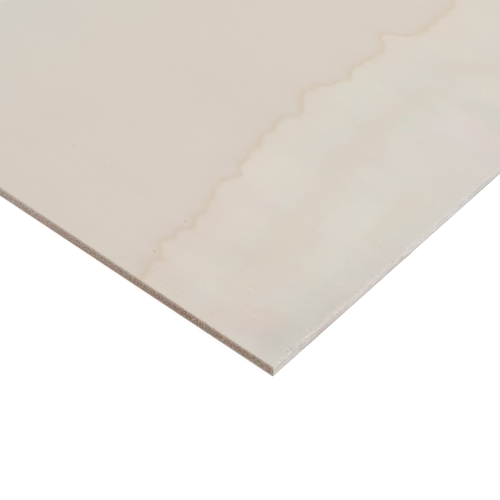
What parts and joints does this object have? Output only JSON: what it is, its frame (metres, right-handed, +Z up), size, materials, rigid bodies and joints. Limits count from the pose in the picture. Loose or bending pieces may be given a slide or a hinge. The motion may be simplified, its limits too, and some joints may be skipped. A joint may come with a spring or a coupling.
{
  "type": "plywood sheet",
  "caption": "Thin flat rectangular sheet of plywood with pale bare wood faces and square sawn edges, lying on its back veneer; stock to be cut up for panels, backs and boxes.",
  "frame": {"origin": "under the middle of the sheet, on the surface it lies on", "axes": "+X along the length and the grain of the face veneer, +Y across the width, +Z up through the thickness to the face"},
  "size_m": [1.22, 0.61, 0.005],
  "materials": {
    "bare_plywood": "bare sanded rotary-cut veneer, matte, with sawn edges"
  },
  "bodies": {
    "root": {"plywood_sheet": "bare_plywood"}
  },
  "joints": []
}
